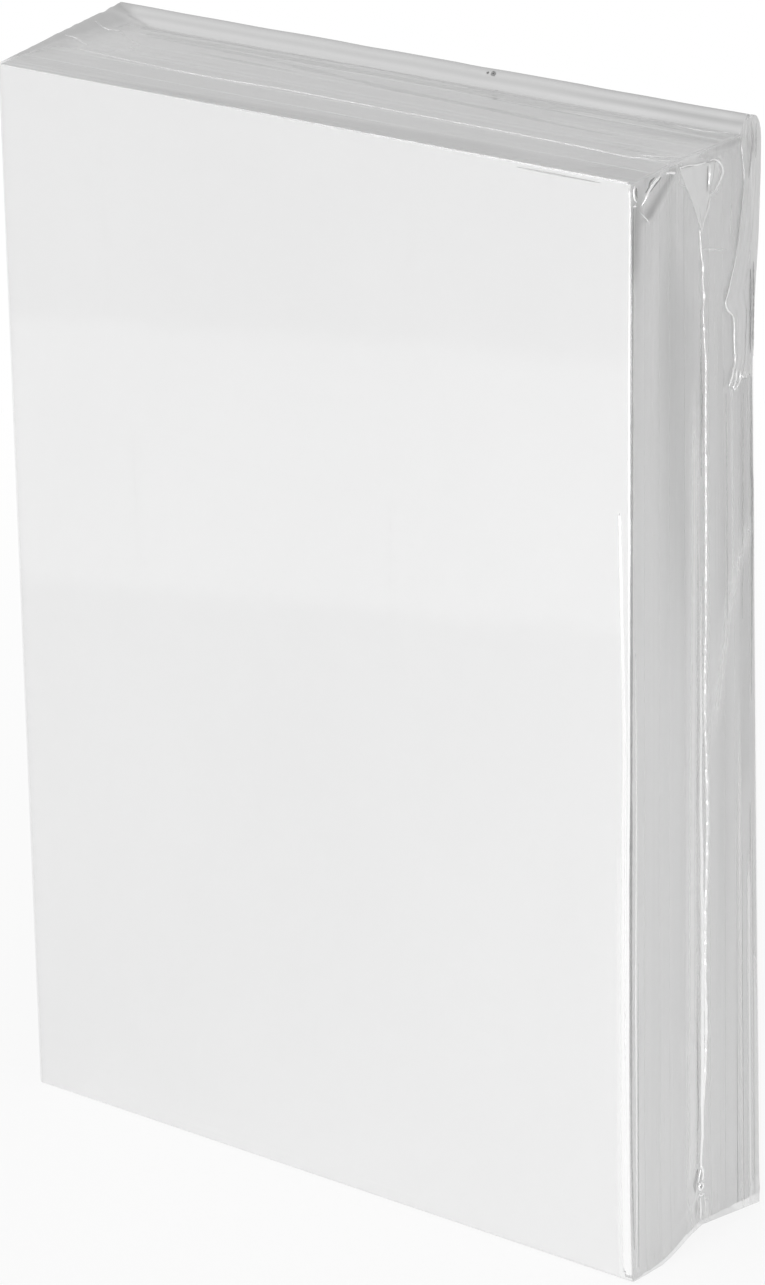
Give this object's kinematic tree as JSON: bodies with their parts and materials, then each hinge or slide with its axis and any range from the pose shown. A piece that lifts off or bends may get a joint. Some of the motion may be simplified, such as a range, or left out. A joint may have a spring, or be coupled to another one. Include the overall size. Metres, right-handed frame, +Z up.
{
  "type": "ream of paper",
  "caption": "Ream of blank cut-size paper sealed in clear shrink film with a seam bead, gathered ear and loose flap, standing on its short end.",
  "frame": {"origin": "bottom centre of the bounding box, on the surface that the ream stands on", "axes": "+Z up along the sheets' long edges; +X to the right along the front face, towards the side with the seam; the front face looks along -Y"},
  "size_m": [0.2126, 0.0586, 0.3041],
  "materials": {
    "sheets": "matt, uncoated",
    "film": "clear shrink film, glossy"
  },
  "bodies": {
    "root": {"paper_stack": "sheets", "shrink_film": "film"}
  },
  "joints": []
}
